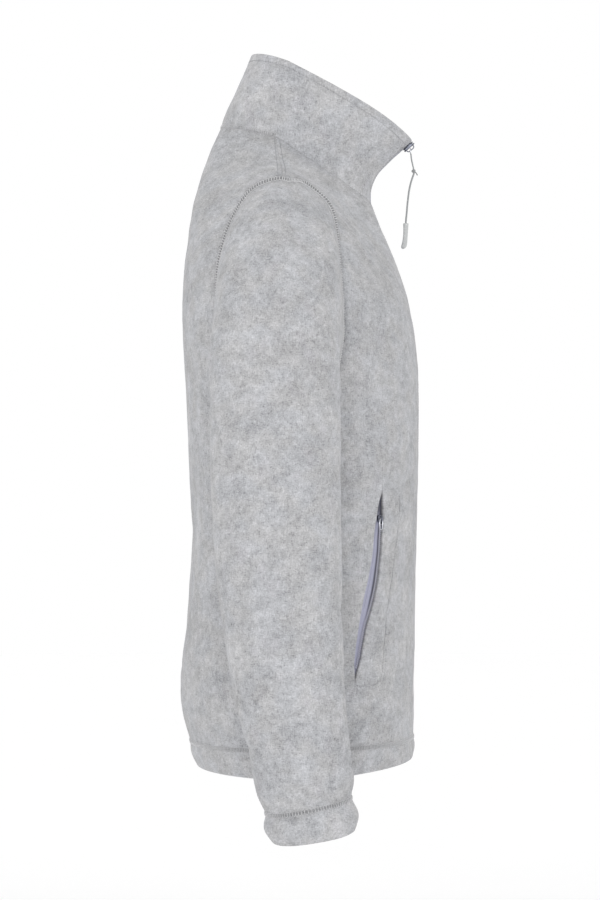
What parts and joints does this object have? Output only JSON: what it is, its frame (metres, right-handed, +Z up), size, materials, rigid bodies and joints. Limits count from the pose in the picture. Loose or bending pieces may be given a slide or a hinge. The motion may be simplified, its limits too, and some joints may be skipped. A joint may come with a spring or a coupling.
{
  "type": "fleece zip jacket",
  "caption": "Fleece zip jacket filled out as worn, with a stand collar, long sleeves, banded hem and cuffs, a full front zip with a cord pull, and slanted zip pockets.",
  "frame": {"origin": "midway between the wearer's shoulders inside the jacket, level with a point a little above the shoulder points, where the shoulders carry it", "axes": "+Z up; the jacket faces -Y; the wearer's right side is -X and the left side is +X"},
  "size_m": [0.7004, 0.2521, 0.8079],
  "materials": {
    "fleece": "soft matte heather fleece",
    "zip_tape": "woven matte",
    "zip_coil": "satin",
    "zip_metal": "satin",
    "pull_cord": "fine braid",
    "pull_grip": "matte moulded"
  },
  "bodies": {
    "garment": {"back": "fleece", "collar": "fleece", "cuff_left": "fleece", "cuff_right": "fleece", "front_left": "fleece", "front_right": "fleece", "hem": "fleece", "pocket_coil_left": "zip_coil", "pocket_coil_right": "zip_coil", "pocket_slider_left": "zip_metal", "pocket_slider_right": "zip_metal", "pocket_tape_left": "zip_tape", "pocket_tape_right": "zip_tape", "pocket_welt_left": "fleece", "pocket_welt_right": "fleece", "sleeve_left": "fleece", "sleeve_right": "fleece", "zip_coil": "zip_coil", "zip_foot": "zip_metal", "zip_slider": "zip_metal", "zip_tape_left": "zip_tape", "zip_tape_right": "zip_tape"},
    "main_pull": {"zip_pull_eye": "zip_metal", "pull_cord_upper": "pull_cord", "pull_knot": "pull_cord", "pull_cord_lower": "pull_cord", "pull_grip": "pull_grip"},
    "pocket_pull_right": {"pocket_ring_right": "zip_metal"},
    "pocket_pull_left": {"pocket_ring_left": "zip_metal"}
  },
  "joints": [
    {"name": "main_pull_swing", "type": "hinge", "parent": "garment", "child": "main_pull", "pos_m": [0, -0.13514, 0.00126], "axis": [-1, 0, 0], "range_deg": [-4, 90]},
    {"name": "pocket_pull_right_lift", "type": "hinge", "parent": "garment", "child": "pocket_pull_right", "pos_m": [-0.1717, -0.1008, -0.38815], "axis": [-0.7924, 0.61, -0.0022], "range_deg": [0, 150]},
    {"name": "pocket_pull_left_lift", "type": "hinge", "parent": "garment", "child": "pocket_pull_left", "pos_m": [0.1717, -0.1008, -0.38815], "axis": [-0.7924, -0.61, 0.0022], "range_deg": [0, 150]}
  ]
}
